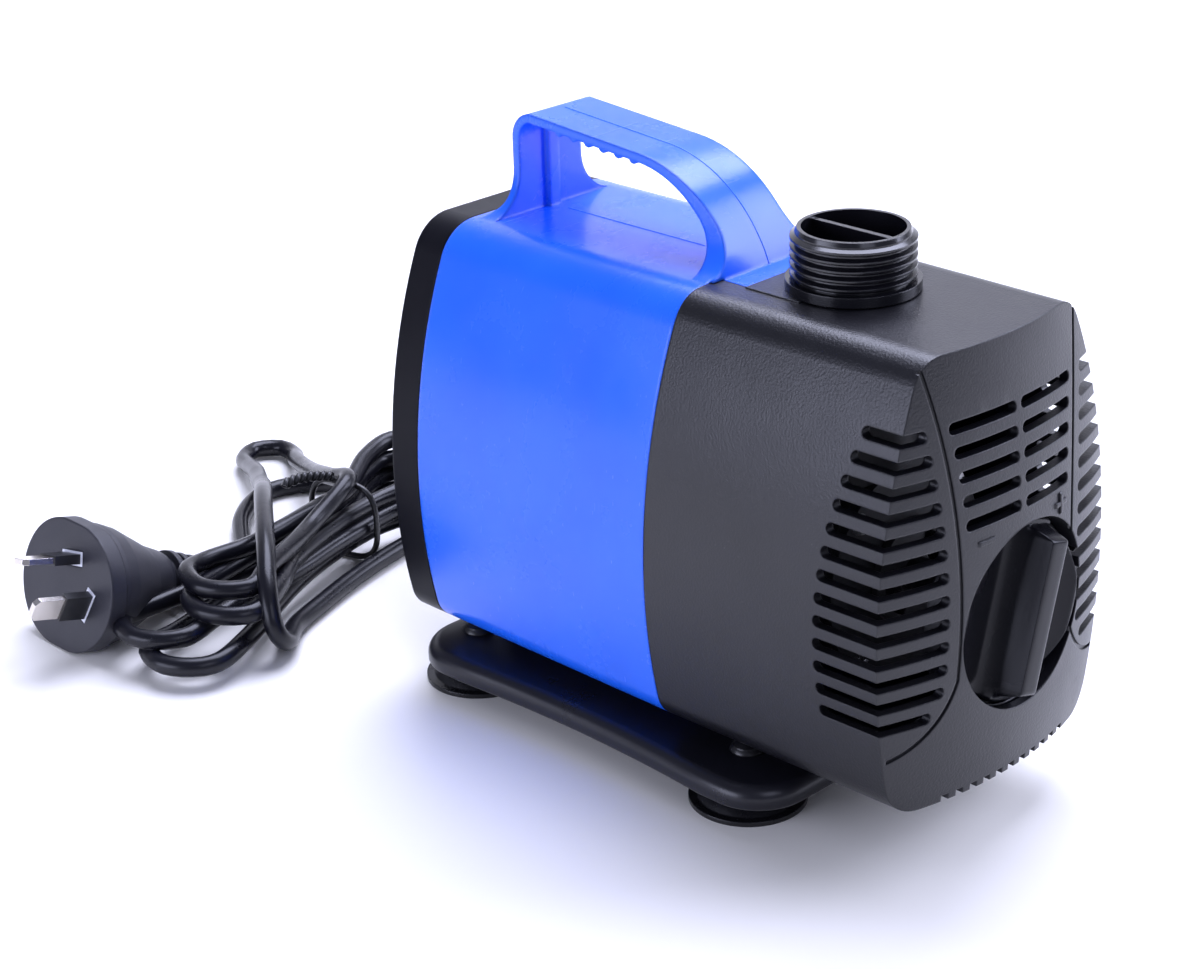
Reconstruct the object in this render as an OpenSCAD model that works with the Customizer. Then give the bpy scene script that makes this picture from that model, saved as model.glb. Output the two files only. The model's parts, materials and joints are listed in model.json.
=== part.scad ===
// Submersible fountain pump with a carry handle, a grilled strainer, a flow knob and a folded mains cord.
// Frame: millimetres, +Z up. Origin on the floor, under the middle of the pump's box.
// The motor axis runs along Y. The strainer faces -Y and the cable leaves the rear cap towards +Y.

/* [Housing] */
// Width of the housing at its widest height
body_w = 85.4; // [84:0.1:88]
// Height of the underside of the housing above the floor
body_z0 = 17; // [16:0.5:18]
// Height of the flat top of the housing above the floor
body_z1 = 122.2; // [120:0.1:124]
// Height at which the bulged sides are widest
belly_z = 58; // [56:1:60]
// Radius of the bulge of the sides
side_r = 147; // [140:1:160]
// Radius of the upper shoulders
shoulder_r = 12; // [10:0.5:14]
// Radius of the lower shoulders
sole_r = 9; // [8:0.5:11]
// Thickness of the moulded walls
wall = 2.4; // [2:0.1:2.8]
// Distance of the joint between motor housing and strainer in front of the origin
seam = 5; // [4:0.5:6]
// Distance of the joint between motor housing and rear cap behind the origin
cap_seam = 73; // [72:0.5:74]
// Distance of the rear panel behind the origin
rear_y = 84.7; // [84:0.1:86]

/* [Strainer] */
// Distance of the middle of the front face in front of the origin
front_y = 81; // [80:0.5:81.5]
// Draft of each strainer side, in degrees
draft = 1.2; // [0.8:0.1:1.4]
// Number of slots that wrap round each front corner
corner_slots = 13; // [11:1:13]
// Distance between the corner slots
slot_pitch = 5.45; // [5.3:0.01:5.5]
// Height of the open part of a slot
slot_h = 2.8; // [2.4:0.1:3]
// Number of rows of slots above the knob
front_rows = 5; // [3:1:5]
// Number of slots across the underside
sole_slots = 11; // [7:2:11]

/* [Outlet] */
// Outside diameter of the outlet thread
thread_d = 28.8; // [28.5:0.1:29.2]
// Bore of the outlet
bore_d = 23.7; // [22:0.1:24]
// Distance between the thread crests
thread_pitch = 2.1; // [1.9:0.05:2.1]
// Number of thread crests
thread_turns = 5; // [4:1:5]
// Distance of the outlet axis in front of the origin
outlet_y = 31.5; // [31:0.5:32]
// Height of the outlet rim above the floor
outlet_z = 136.7; // [136:0.1:138]

/* [Handle] */
// Width of the handle strap
handle_w = 21.2; // [20:0.2:23]
// Height of the top of the handle above the floor
handle_z = 148.7; // [147:0.1:149.5]
// Thickness of the strap
strap_t = 2.2; // [2:0.1:2.6]

/* [Knob] */
// Diameter of the recess for the knob
recess_d = 44.8; // [44:0.2:46]
// Height of the motor and knob axis above the floor
axis_z = 55.5; // [55:0.5:56.5]
// Distance of the motor and knob axis to the right of the middle plane
axis_x = 3; // [2:0.5:3]
// Lean of the grip bar from upright, in degrees
bar_lean = 17; // [10:1:25]

/* [Base] */
// Length of the base frame
base_l = 123; // [120:1:124]
// Width of the base frame over its lobes
base_w = 89; // [88:1:92]
// Radius of a suction cup
cup_r = 14.2; // [13.5:0.1:14.5]
// Distance of the cups from the middle plane
cup_x = 28; // [27.5:0.5:29]

/* [Cord] */
// Diameter of the mains cord
cord_d = 5.2; // [5:0.1:5.4]

/* [Hidden] */
$fn = 96;
far = 100;                                   // longer than any cut has to be
blue = [0.10, 0.32, 0.95];
black = [0.13, 0.13, 0.15];
gloss_black = [0.07, 0.07, 0.08];
steel = [0.75, 0.75, 0.76];
copper = [0.72, 0.36, 0.16];
resin = [0.25, 0.22, 0.18];
rubber = [0.10, 0.10, 0.10];
ceramic = [0.92, 0.91, 0.87];

side_x = body_w / 2 - side_r;                // centre of the bulge of the +X side
// Centre of a shoulder arc of radius r that lies inside the bulge and touches the level z
function shoulder_x(r, z) = side_x + sqrt(pow(side_r - r, 2) - pow(z - belly_z, 2));

front_r = 107.3;                             // plan radius of the front face at its middle height
front_rise_r = 372;                          // radius of the front face seen from the side
front_axis = front_r - front_y;              // Y of the upright axis of the front face
first_slot_z = 40.4;                         // height of the lowest corner slot
row_pitch = 5.65;                            // distance between the rows above the knob
first_row_z = 83.3;                          // height of the lowest of those rows
recess_floor = front_y - 9;                  // distance of the recess floor in front of the origin
stem_r = 4;                                  // knob stem
run_gap = 0.06;                              // radial clearance of a running fit
shaft_r = 2;                                 // ceramic shaft
can_r = 14;                                  // outside radius of the rotor can
can_end = 31;                                // Y of the closed end of the rotor can
core_gap = 0.4;                              // air round the rotor can inside the core
core_in = can_r + core_gap;                  // inner face of the core's legs
core_leg = 11.6;                             // thickness of a core leg
core_h = 28;                                 // height of the core's stack
chamber_r = 27;                              // outside radius of the volute chamber
chamber_back = 17.5;                         // distance of its back wall in front of the origin
chamber_front = 43;                          // distance of its open front in front of the origin
base_y0 = -43;                               // front end of the base frame
plate_z0 = 7;                                // underside of the base frame
plate_z1 = 12.8;                             // its top
cup_y = [-23.7, 69.6];                       // the two rows of suction cups
gland_z = 38;                                // height of the cable gland
plug_face = [-90, 163, 17.2];                // middle of the plug's face
plug_tilt = 16;                              // pins point up by this angle
plug_roll = -50;                             // turn of the plug about its own axis
boot_end = 118;                              // Y of the end of the gland's strain relief
hank_mid = [-19, 148];                       // middle of the folded hank
hank_l = 136;                                // its length over the folds
hank_w = 22;                                 // its width
hank_z0 = 0.4;                               // its underside, resting on the tie
hank_z1 = 20;                                // its top
hank_turn = 14;                              // its direction from the X axis, in degrees

// Routes of the cord's free stretches
lead_route = [
    [0, 118, 38], [0, 124, 38], [3, 133, 36], [9, 142, 33], [18, 149, 28], [28, 155, 23], [37, 159, 19]
];
loop_route = [
    [14, 158, 17], [8, 166, 19], [8, 176, 16], [14, 190, 8], [23, 205, 3], [30, 219, 3], [27, 228, 3],
    [18, 225, 3], [8, 213, 3], [-3, 198, 3], [-13, 184, 6], [-22, 172, 15], [-30, 160, 23], [-39, 148, 25],
    [-47, 136, 19], [-51, 127, 9], [-48, 122, 3], [-40, 122, 3], [-32, 130, 5]
];
tail_route = [
    [14, 166, 6], [18, 176, 3], [21, 188, 3], [20, 200, 3], [11, 207, 3], [0, 204, 3], [-12, 196, 3],
    [-22, 186, 3], [-30, 175, 3], [-38, 167, 3], [-44, 163.5, 3.8]
];

// ---------- helpers ----------
// Extrudes an outline drawn in X and Z along Y, from y0 to y1
module along_y(y0, y1) {
    translate([0, y1, 0]) rotate([90, 0, 0]) linear_extrude(y1 - y0) children();
}

// Extrudes an outline drawn in Y and Z along X, from x0 to x1
module along_x(x0, x1) {
    translate([x0, 0, 0]) rotate([90, 0, 90]) linear_extrude(x1 - x0) children();
}

// A round bar along Y, from y0 to y1, on the axis through x and z
module rod_y(y0, y1, r, x = axis_x, z = axis_z) {
    translate([x, y1, z]) rotate([90, 0, 0]) cylinder(h = y1 - y0, r = r);
}

module both_sides() {
    children();
    mirror([1, 0, 0]) children();
}

// An upright slot end: a square outline rounded at both ends, from a to b, of height h
module round_slot(a, b, h) {
    translate([a + h / 2, -h / 2]) square([b - a - h, h]);
    for (x = [a + h / 2, b - h / 2]) translate([x, 0]) circle(d = h, $fn = 24);
}

// The corner outside an arc of radius r about [x, z], between straight up (or down) and the side bulge
module corner_waste(r, x, z, inset, up) {
    reach = 4 * r;
    lean = atan2(z - belly_z, x - side_x);
    difference() {
        polygon([
            [x, z], [x + reach * cos(lean), z + reach * sin(lean)],
            [x + reach, z + up * reach], [x, z + up * reach]
        ]);
        translate([x, z]) circle(r = r - inset);
    }
}

// Cross-section of the housing in X and Z, moved inwards by inset
module section(inset = 0, top_r = shoulder_r) {
    difference() {
        intersection() {
            for_side(1) circle(r = side_r - inset, $fn = 360);
            for_side(-1) circle(r = side_r - inset, $fn = 360);
            translate([-body_w, body_z0 + inset]) square([2 * body_w, body_z1 - body_z0 - 2 * inset]);
        }
        for (s = [0, 1]) mirror([s, 0]) {
            corner_waste(top_r, shoulder_x(top_r, body_z1 - top_r), body_z1 - top_r, inset, 1);
            corner_waste(sole_r, shoulder_x(sole_r, body_z0 + sole_r), body_z0 + sole_r, inset, -1);
        }
    }
}

module for_side(s) {
    translate([s * side_x, belly_z]) children();
}

// A flat plate of the housing's cross-section
module slice(y0, y1, inset = 0) {
    along_y(y0, y1) section(inset);
}

// A screw along Z with a domed, slotted head below z = 0 and a shank above it
module screw(shank_r, shank_l, head_r, head_h) {
    cylinder(h = shank_l, r = shank_r, $fn = 32);
    difference() {
        translate([0, 0, -head_h]) cylinder(h = head_h, r1 = head_r * 0.8, r2 = head_r, $fn = 32);
        translate([-far, -head_r / 8, -head_h - 1]) cube([2 * far, head_r / 4, 1 + head_h / 2]);
    }
}

// ---------- cord sweep ----------
// Point on a Catmull-Rom curve through p, at segment i and fraction t
function on_curve(p, i, t) =
    let (n = len(p) - 1, a = p[max(i - 1, 0)], b = p[i], c = p[min(i + 1, n)], d = p[min(i + 2, n)])
    0.5 * (2 * b + (c - a) * t + (2 * a - 5 * b + 4 * c - d) * t * t + (3 * b - a - 3 * c + d) * t * t * t);
function curve(p, steps) = [
    for (i = [0 : len(p) - 2]) for (k = [0 : steps - 1]) on_curve(p, i, k / steps),
    p[len(p) - 1]
];
function heading(p, i) =
    let (v = p[min(i + 1, len(p) - 1)] - p[max(i - 1, 0)]) v / norm(v);
// A ring of points round p[i]; level is the horizontal direction across the cord there
function ring(p, i, r, sides) =
    let (h = heading(p, i), flat = cross(h, [0, 0, 1]), level = flat / norm(flat), rise = cross(level, h))
    [for (k = [0 : sides - 1]) p[i] + r * (cos(360 * k / sides) * level + sin(360 * k / sides) * rise)];

module tube(route, d, sides = 8, steps = 1) {
    p = curve(route, steps);
    rings = len(p);
    points = [for (i = [0 : rings - 1]) each ring(p, i, d / 2, sides)];
    walls = [
        for (i = [0 : rings - 2]) for (k = [0 : sides - 1])
            let (a = i * sides, b = a + sides, next = (k + 1) % sides) [a + k, a + next, b + next, b + k]
    ];
    ends = [
        [for (k = [sides - 1 : -1 : 0]) k],
        [for (k = [0 : sides - 1]) (rings - 1) * sides + k]
    ];
    polyhedron(points, concat(walls, ends), convexity = 8);
}

// ---------- motor housing ----------
// Side outline of the handle, in Y and Z, moved inwards by inset
strap_rear = 68;                             // Y of the back of the rear post
strap_bend = 25;                             // Y where the straight top turns into the front curve
strap_r = 37;                                // radius of the front curve
strap_slope = 4.6;                           // fall of the top towards the front, in degrees
strap_corner = 7;                            // radius of the rear top corner
strap_inner_r = 28.6;                        // radius of the front curve's inner side
strap_bend_z = handle_z - (strap_rear - strap_bend) * tan(strap_slope);

module strap_side(inset, bend_r = 0) {
    rear = strap_rear - inset;
    r = bend_r > 0 ? bend_r : strap_r - inset;
    curve_y = strap_bend + (r + inset) * sin(strap_slope);
    curve_z = strap_bend_z - (r + inset) * cos(strap_slope);
    // straight part, with its rounded rear corner
    difference() {
        polygon([
            [strap_bend, body_z1 - 8], [rear, body_z1 - 8],
            [rear, handle_z - inset - (strap_rear - rear) * tan(strap_slope)],
            [strap_bend, strap_bend_z - inset]
        ]);
        translate([strap_rear - strap_corner, handle_z - strap_corner - 0.4]) difference() {
            square(2 * strap_corner);
            circle(r = max(strap_corner - inset, 0.6));
        }
    }
    // front curve
    intersection() {
        translate([curve_y, curve_z]) circle(r = r, $fn = 180);
        translate([strap_bend - far, body_z1 - 8]) square([far + 0.01, far]);
    }
}

// The handle seen from the front: a strap with feet that flare out onto the housing
module strap_front() {
    flare_r = 11.5;
    half = handle_w / 2;
    flare_z = body_z1 + flare_r - 0.25;
    difference() {
        translate([-half - flare_r + 1, body_z1 - 6]) square([2 * (half + flare_r - 1), 40]);
        for (s = [-1, 1]) translate([s * (half + flare_r), flare_z]) circle(r = flare_r);
        for (s = [0, 1]) mirror([s, 0]) translate([half, flare_z]) square(40);
    }
}

module handle() {
    // the bent strap with its flared feet
    intersection() {
        along_x(-far, far) difference() {
            strap_side(0);
            strap_side(strap_t, strap_inner_r);
            translate([-far, 0]) square([2 * far, body_z1 - 3]);
        }
        along_y(-far, far) strap_front();
    }
    // the rib inside the strap
    along_x(-1.8, 1.8) difference() {
        strap_side(strap_t - 0.2, strap_inner_r + 0.2);
        strap_side(strap_t + 1.4, strap_inner_r - 1.4);
        translate([-far, 0]) square([2 * far, body_z1 - 1]);
    }
    // finger ridges across the underside of the top
    ridge_r = 1.5;
    for (k = [0 : 5]) {
        y = 27 + 5 * k;
        z = handle_z - strap_t - (strap_rear - y) * tan(strap_slope);
        along_x(0.4 - handle_w / 2, handle_w / 2 - 0.4) translate([y, z + 0.5]) circle(r = ridge_r, $fn = 32);
    }
    // the concave heel behind the rear post
    heel_r = 5;
    intersection() {
        along_x(-far, far) difference() {
            translate([strap_rear - 1, body_z1 - 1.2]) square([heel_r + 0.2, heel_r + 1]);
            translate([strap_rear + heel_r, body_z1 + heel_r - 0.25]) circle(r = heel_r);
        }
        along_y(-far, far) strap_front();
    }
}

tongue_x = 15.4;                             // half width of the tongue
tongue_y = 13.4;                             // its front edge, in front of the origin

module motor_housing() {
    color(blue) difference() {
        union() {
            slice(-seam, cap_seam);
            // ring that locates the strainer
            slice(-seam - 4, -seam + 1, wall + 0.2);
            handle();
            // tongue under the handle's front foot
            translate([-tongue_x, -tongue_y, body_z1 - wall]) cube([2 * tongue_x, tongue_y, wall]);
        }
        slice(-seam + 3, cap_seam + 1, wall);
        slice(-seam - 5, -seam, wall + 2.4);
        rod_y(-far / 2, far / 2, can_r + 0.2);
        // the flares of the handle's front foot stop above the strainer
        both_sides() translate([tongue_x, -far, body_z1 - wall + 0.1]) cube([far, far - seam, wall + 0.1]);
    }
}

// ---------- rear cap ----------
screw_place = [for (x = [-24, 24]) for (z = [32, 106]) [x, z]];

module rear_cover() {
    color(black) difference() {
        union() {
            slice(cap_seam + 0.2, rear_y - 2);
            slice(rear_y - 3, rear_y, 7);
        }
        slice(cap_seam - 1, rear_y - 4.4, wall);
        for (p = screw_place) {
            rod_y(cap_seam, far, 1.9, p[0], p[1]);
            rod_y(rear_y - 1.8, far, 3.6, p[0], p[1]);
        }
        rod_y(cap_seam, far, 6.5, 0, gland_z);
    }
}

module rear_screws() {
    color(steel) for (p = screw_place)
        translate([p[0], rear_y - 1.8, p[1]]) rotate([90, 0, 0]) screw(1.8, 8, 3.3, 1.6);
}

// ---------- strainer ----------
// One side of the strainer, turned by its draft about the joint; the other side is open-ended
module drafted_side(s, inset, top_r) {
    pivot = [s * body_w / 2, -seam, 0];
    translate(pivot) rotate([0, 0, -s * draft]) translate(-pivot) along_y(-far, 10) union() {
        section(inset, top_r);
        translate([s > 0 ? -far : 0, body_z0 + inset]) square([far, body_z1 - body_z0 - 2 * inset]);
    }
}

// The round front face, as a barrel about an upright axis
module front_barrel(inset) {
    translate([0, front_axis, 0]) rotate_extrude($fn = 360) intersection() {
        translate([front_r - front_rise_r, belly_z - 1]) circle(r = front_rise_r - inset, $fn = 720);
        square([2 * front_r, 2 * far]);
    }
}

module strainer_shape(inset, back) {
    intersection() {
        drafted_side(1, inset, 9);
        drafted_side(-1, inset, 9);
        front_barrel(inset);
        translate([-far, -2 * far, 0]) cube([2 * far, 2 * far + back, 2 * far]);
    }
}

// X of the groove line that bounds the corner slots on the front face, at height z, on the +X side
function groove_x(z) =
    let (big = 248 - sqrt(pow(228, 2) - pow(z - 64, 2)), dz = min(abs(z - 54.5), 22.7))
    z > 47 ? big : max(big, 42.2 - sqrt(pow(22.8, 2) - dz * dz));

// Y where a corner slot ends on the side, at height z
function side_end(z) = -55 - pow(z - 60, 2) / 306;

module corner_slot(z) {
    front_end = groove_x(z) + 3.2;
    end_y = side_end(z);
    r = slot_h / 2;
    translate([front_end + r, -2 * far + end_y - r, z - r]) cube([far, 2 * far, slot_h]);
    rod_y(-far, -60, r, front_end + r, z);
    translate([30, end_y - r, z]) rotate([0, 90, 0]) cylinder(h = far, r = r, $fn = 32);
}

module front_slots() {
    for (k = [0 : front_rows - 1]) {
        z = first_row_z + k * row_pitch;
        along_y(-far, -60) translate([0, z]) round_slot(0.8, groove_x(z) - 2.4, slot_h);
    }
}

// The lines that bound the corner slots, seen from the front: a long bow and its turn below
module groove_lines() {
    intersection() {
        difference() {
            translate([248, 64]) circle(r = 228.5, $fn = 360);
            translate([248, 64]) circle(r = 227.5, $fn = 360);
        }
        translate([0, 47]) square([34, body_z1 - 45]);
    }
    intersection() {
        difference() {
            translate([42.2, 54.5]) circle(r = 23.3);
            translate([42.2, 54.5]) circle(r = 22.3);
        }
        translate([0, 20]) square([38, 27.5]);
    }
}

module groove() {
    intersection() {
        difference() {
            front_barrel(-1);
            front_barrel(0.7);
        }
        along_y(-far, -60) groove_lines();
    }
}

module strainer_housing() {
    color(black) difference() {
        union() {
            difference() {
                strainer_shape(0, -seam - 0.2);
                strainer_shape(wall, -seam + 1);
            }
            // cup behind the knob recess
            rod_y(-recess_floor - 4.9, -recess_floor + 2.4, recess_d / 2 + 1.8);
            rod_y(-recess_floor, -recess_floor + 5, stem_r + 3);
            // raised band from the tongue to the outlet collar
            translate([-16.4, -outlet_y + 2, body_z1 - 1]) cube([32.8, outlet_y - 2 - tongue_y - 0.2, 1.3]);
        }
        rod_y(-far, -recess_floor, recess_d / 2);
        rod_y(-far, 0, stem_r + run_gap);
        both_sides() for (k = [0 : corner_slots - 1]) corner_slot(first_slot_z + k * slot_pitch);
        both_sides() front_slots();
        both_sides() groove();
        // slots across the underside, which fade into notches at the front edge
        for (k = [0 : sole_slots - 1]) translate([(k - (sole_slots - 1) / 2) * 4.3 - 1.05, 0, body_z0 - 1]) {
            translate([0, -far, 0]) cube([2.1, far - 52, 2.5]);
            translate([0, -72, 0]) cube([2.1, 20, 4.4]);
        }
        translate([0, -outlet_y, body_z1 - 8]) cylinder(h = 20, d = thread_d - 2.2);
        translate([-tongue_x - 0.2, -tongue_y - 0.2, body_z1 - wall - 1]) cube([2 * tongue_x + 0.4, far, 8]);
    }
}

// ---------- outlet ----------
neck_r = thread_d / 2 - 1.2;                 // outside radius of the nozzle's plain neck
nozzle_z0 = 104;                             // lower end of the nozzle, inside the volute's neck

module outlet_nozzle() {
    color(gloss_black) translate([0, -outlet_y, 0]) difference() {
        union() {
            translate([0, 0, nozzle_z0]) cylinder(h = outlet_z - nozzle_z0 - 1, r = neck_r);
            translate([0, 0, outlet_z - 1]) cylinder(h = 1, r1 = neck_r, r2 = neck_r - 0.4);
            // collar that holds the strainer down
            translate([0, 0, body_z1 + 0.3]) cylinder(h = 2.4, r = thread_d / 2 + 1.1);
            // thread crests
            rotate_extrude() for (k = [0 : thread_turns - 1])
                translate([neck_r - 0.2, outlet_z - 2.2 - k * thread_pitch]) polygon([
                    [0, 0.95], [1.4, 0.25], [1.4, -0.25], [0, -0.95]
                ]);
        }
        translate([0, 0, nozzle_z0 - 1]) cylinder(h = far, d = bore_d);
        // groove for the O-ring
        translate([0, 0, 109]) rotate_extrude() translate([neck_r + 0.3, 0]) circle(r = 1.1, $fn = 32);
    }
    // rib across the bore
    color(gloss_black) intersection() {
        translate([-0.7, -outlet_y - 20, nozzle_z0 + 8]) cube([1.4, 40, outlet_z - nozzle_z0 - 8.6]);
        translate([0, -outlet_y, nozzle_z0]) cylinder(h = 50, d = bore_d + 0.4);
    }
}

module outlet_oring() {
    color(rubber) translate([0, -outlet_y, 109])
        rotate_extrude() translate([neck_r - 0.2, 0]) circle(r = 0.6, $fn = 32);
}

// ---------- pump chamber ----------
volute_bolts = [for (a = [45 : 90 : 315]) [axis_x + 24.2 * cos(a), axis_z + 24.2 * sin(a)]];

module volute_casing() {
    color(black) difference() {
        union() {
            rod_y(-chamber_front, -chamber_back, chamber_r);
            rod_y(-chamber_back - 1, -seam - 3, can_r + 7);
        }
        rod_y(-far, -chamber_back - 2.2, 21);
        rod_y(-chamber_back - 3, 0, can_r - 4);
        translate([0, -outlet_y, axis_z]) cylinder(h = far, d = bore_d - 3.7);
        for (p = volute_bolts) rod_y(-far, -chamber_front + 9, 1.4, p[0], p[1]);
    }
}

// The pipe that stands on the chamber and takes the nozzle
module volute_neck() {
    foot_z = axis_z + 18;
    color(black) difference() {
        translate([0, -outlet_y, foot_z]) cylinder(h = body_z1 - wall - 0.4 - foot_z, r = neck_r + 2);
        rod_y(-far, 0, chamber_r + 0.02);
        translate([0, -outlet_y, axis_z]) cylinder(h = far, d = bore_d - 3.7);
        translate([0, -outlet_y, nozzle_z0 - 0.2]) cylinder(h = far, r = neck_r + 0.1);
    }
}

// Two ports between the radii 5.4 and 10.6, each 84 degrees wide
module ports() {
    for (side = [0, 180]) rotate(side) intersection() {
        difference() {
            circle(r = 10.6);
            circle(r = 5.4);
        }
        polygon([[0, 0], [far * cos(42), -far * sin(42)], [far, 0], [far * cos(42), far * sin(42)]]);
    }
}

bearing_r = 3.6;
plate_front = chamber_front + 2.6;           // distance of the inlet plate's face in front of the origin

module inlet_plate() {
    color(black) difference() {
        union() {
            rod_y(-plate_front, -chamber_front - 0.1, chamber_r);
            rod_y(-chamber_front - 1, -chamber_front + 4.6, bearing_r + 1.4);
        }
        translate([axis_x, 0, axis_z]) along_y(-far, -chamber_front + 0.5) ports();
        rod_y(-chamber_front - 0.8, 0, bearing_r);
        for (p = volute_bolts) rod_y(-far, 0, 1.6, p[0], p[1]);
    }
}

module volute_screws() {
    color(steel) for (p = volute_bolts)
        translate([p[0], -plate_front, p[1]]) rotate([-90, 0, 0]) screw(1.35, 9, 2.6, 1.4);
}

module chamber_oring() {
    color(rubber) translate([axis_x, -seam - 2.1, axis_z]) rotate([90, 0, 0])
        rotate_extrude() translate([can_r + 2.4, 0]) circle(r = 0.85, $fn = 32);
}

// ---------- flow knob ----------
knob_r = recess_d / 2 - 0.7;
knob_face = front_y - 2.6;                   // distance of the dial's face in front of the origin
scoop_r = 10.5;                              // radius of the hollow along each side of the grip bar
bar_front = 84.7;                            // distance of the grip bar's face in front of the origin
bar_w = 6.6;
bar_l = 38;                                  // length of the grip bar
stem_end = plate_front + 0.4;
shutter_t = 2;
open_turn = 45 - bar_lean;                   // the knob's turn from here to fully open, in degrees

module flow_knob() {
    color(black) {
        translate([axis_x, 0, axis_z]) rotate([0, bar_lean, 0]) {
            difference() {
                rod_y(-knob_face, -recess_floor - 0.2, knob_r, 0, 0);
                // hollows along the grip bar
                for (s = [-1, 1]) translate([s * (bar_w / 2 + scoop_r), -knob_face - 7, -far])
                    cylinder(h = 2 * far, r = scoop_r);
            }
            // grip bar
            intersection() {
                translate([-bar_w / 2, -bar_front, -bar_l / 2])
                    cube([bar_w, bar_front - recess_floor - 1.2, bar_l]);
                rod_y(-far, 0, knob_r - 0.5, 0, 0);
            }
        }
        rod_y(-recess_floor - 1, -stem_end, stem_r);
    }
}

module flow_shutter() {
    color(black) difference() {
        rod_y(-stem_end - shutter_t, -stem_end, 13);
        translate([axis_x, 0, axis_z]) along_y(-far, 0) rotate(open_turn) ports();
        rod_y(-far, 0, stem_r);
    }
}

module knob_clip() {
    color(steel) difference() {
        rod_y(-recess_floor + 5.2, -recess_floor + 6.2, stem_r + 2.6);
        rod_y(-far, 0, stem_r);
        translate([axis_x - 1, -far, axis_z]) cube([2, 2 * far, far]);
    }
}

// ---------- rotor ----------
impeller_back = chamber_back + 4;            // distance of the impeller's disc in front of the origin

module impeller() {
    color(ceramic) difference() {
        union() {
            rod_y(-impeller_back - 1.6, -impeller_back, 18.5);
            rod_y(-impeller_back - 13, -0.4, 5.4);
            translate([axis_x, 0, axis_z]) for (a = [0 : 60 : 300]) rotate([0, a, 0])
                translate([4.5, -impeller_back - 13, -0.8]) cube([14, 12, 1.6]);
        }
        rod_y(-far, far, shaft_r + run_gap);
    }
}

module rotor_magnet() {
    color(gloss_black) difference() {
        rod_y(-0.4, can_end - 5.4, can_r - 2);
        rod_y(-far, far, shaft_r + run_gap);
    }
}

module rotor_shaft() {
    color(ceramic) rod_y(-chamber_front + 0.2, can_end - 2, shaft_r);
}

module bearing(y0, y1) {
    color(rubber) difference() {
        rod_y(y0, y1, bearing_r);
        rod_y(-far, far, shaft_r);
    }
}

module front_bearing() {
    bearing(-chamber_front + 0.2, -chamber_front + 4.6);
}

module rear_bearing() {
    bearing(can_end - 5, can_end - 2);
}

module rotor_can() {
    color(black) difference() {
        union() {
            rod_y(-seam - 0.6, can_end, can_r);
            rod_y(-seam - 2.9, -seam, can_r + 4.2);
        }
        rod_y(-far, can_end - 5, can_r - 1.3);
        rod_y(-far, can_end - 2, bearing_r);
        // seat of the O-ring
        translate([axis_x, -seam - 2.1, axis_z]) rotate([90, 0, 0]) rotate_extrude()
            translate([can_r + 2.4, 0]) circle(r = 0.95, $fn = 32);
    }
}

// ---------- motor ----------
core_front = 2;
core_back = 70;
coil_y = [can_end + 3, core_back - 10.6];    // the room for a coil along a leg

module stator_core() {
    color(steel) difference() {
        translate([axis_x - core_in - core_leg, core_front, axis_z - core_h / 2])
            cube([2 * (core_in + core_leg), core_back - core_front, core_h]);
        rod_y(-far, can_end + 0.4, core_in);
        translate([axis_x - core_in, can_end, axis_z - far])
            cube([2 * core_in, core_back - 10 - can_end, 2 * far]);
        // the legs are cut apart above and below the can
        translate([axis_x - 4, -far, axis_z - far]) cube([8, far + can_end + 1, 2 * far]);
    }
}

// A frame round the core leg on side s: from y0 to y1, between the offsets near and wide of the leg
module leg_frame(s, y0, y1, near, wide) {
    mid = axis_x + s * (core_in + core_leg / 2);
    difference() {
        translate([mid - core_leg / 2 - wide, y0, axis_z - core_h / 2 - wide])
            cube([core_leg + 2 * wide, y1 - y0, core_h + 2 * wide]);
        translate([mid - core_leg / 2 - near, y0 - 1, axis_z - core_h / 2 - near])
            cube([core_leg + 2 * near, y1 - y0 + 2, core_h + 2 * near]);
    }
}

module bobbin(s) {
    color(ceramic) {
        leg_frame(s, coil_y[0], coil_y[1], 0.2, 1.2);
        for (y = [coil_y[0], coil_y[1] - 1.2]) leg_frame(s, y, y + 1.2, 0.2, 6);
    }
}

module winding(s) {
    color(copper) leg_frame(s, coil_y[0] + 1.3, coil_y[1] - 1.3, 1.25, 5.4);
}

module bobbin_left() {
    bobbin(-1);
}

module bobbin_right() {
    bobbin(1);
}

module winding_left() {
    winding(-1);
}

module winding_right() {
    winding(1);
}

// Resin round the motor, left open where the core and the coils stand
module potting_block() {
    color(resin) difference() {
        slice(-seam + 3.2, cap_seam - 1, wall + 0.2);
        translate([axis_x - 34, -seam, axis_z - 22]) cube([68, cap_seam + seam - 2, 44]);
    }
}

// ---------- base ----------
// Plan of the base frame: lobes over the cups, sides drawn in between them
module base_plan(inset = 0) {
    lobe = 14 - inset;
    half = base_w / 2 - 14;
    waist_r = 420;
    difference() {
        union() {
            for (x = [-half, half]) for (y = [base_y0 + 14, base_y0 + base_l - 14])
                translate([x, y]) circle(r = lobe);
            translate([-half, base_y0 + inset]) square([2 * half, base_l - 2 * inset]);
            translate([-base_w / 2 + inset, base_y0 + 14]) square([base_w - 2 * inset, base_l - 28]);
        }
        for (s = [-1, 1]) translate([s * (base_w / 2 - 2 + waist_r), base_y0 + base_l / 2])
            circle(r = waist_r + inset, $fn = 720);
    }
}

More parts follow.
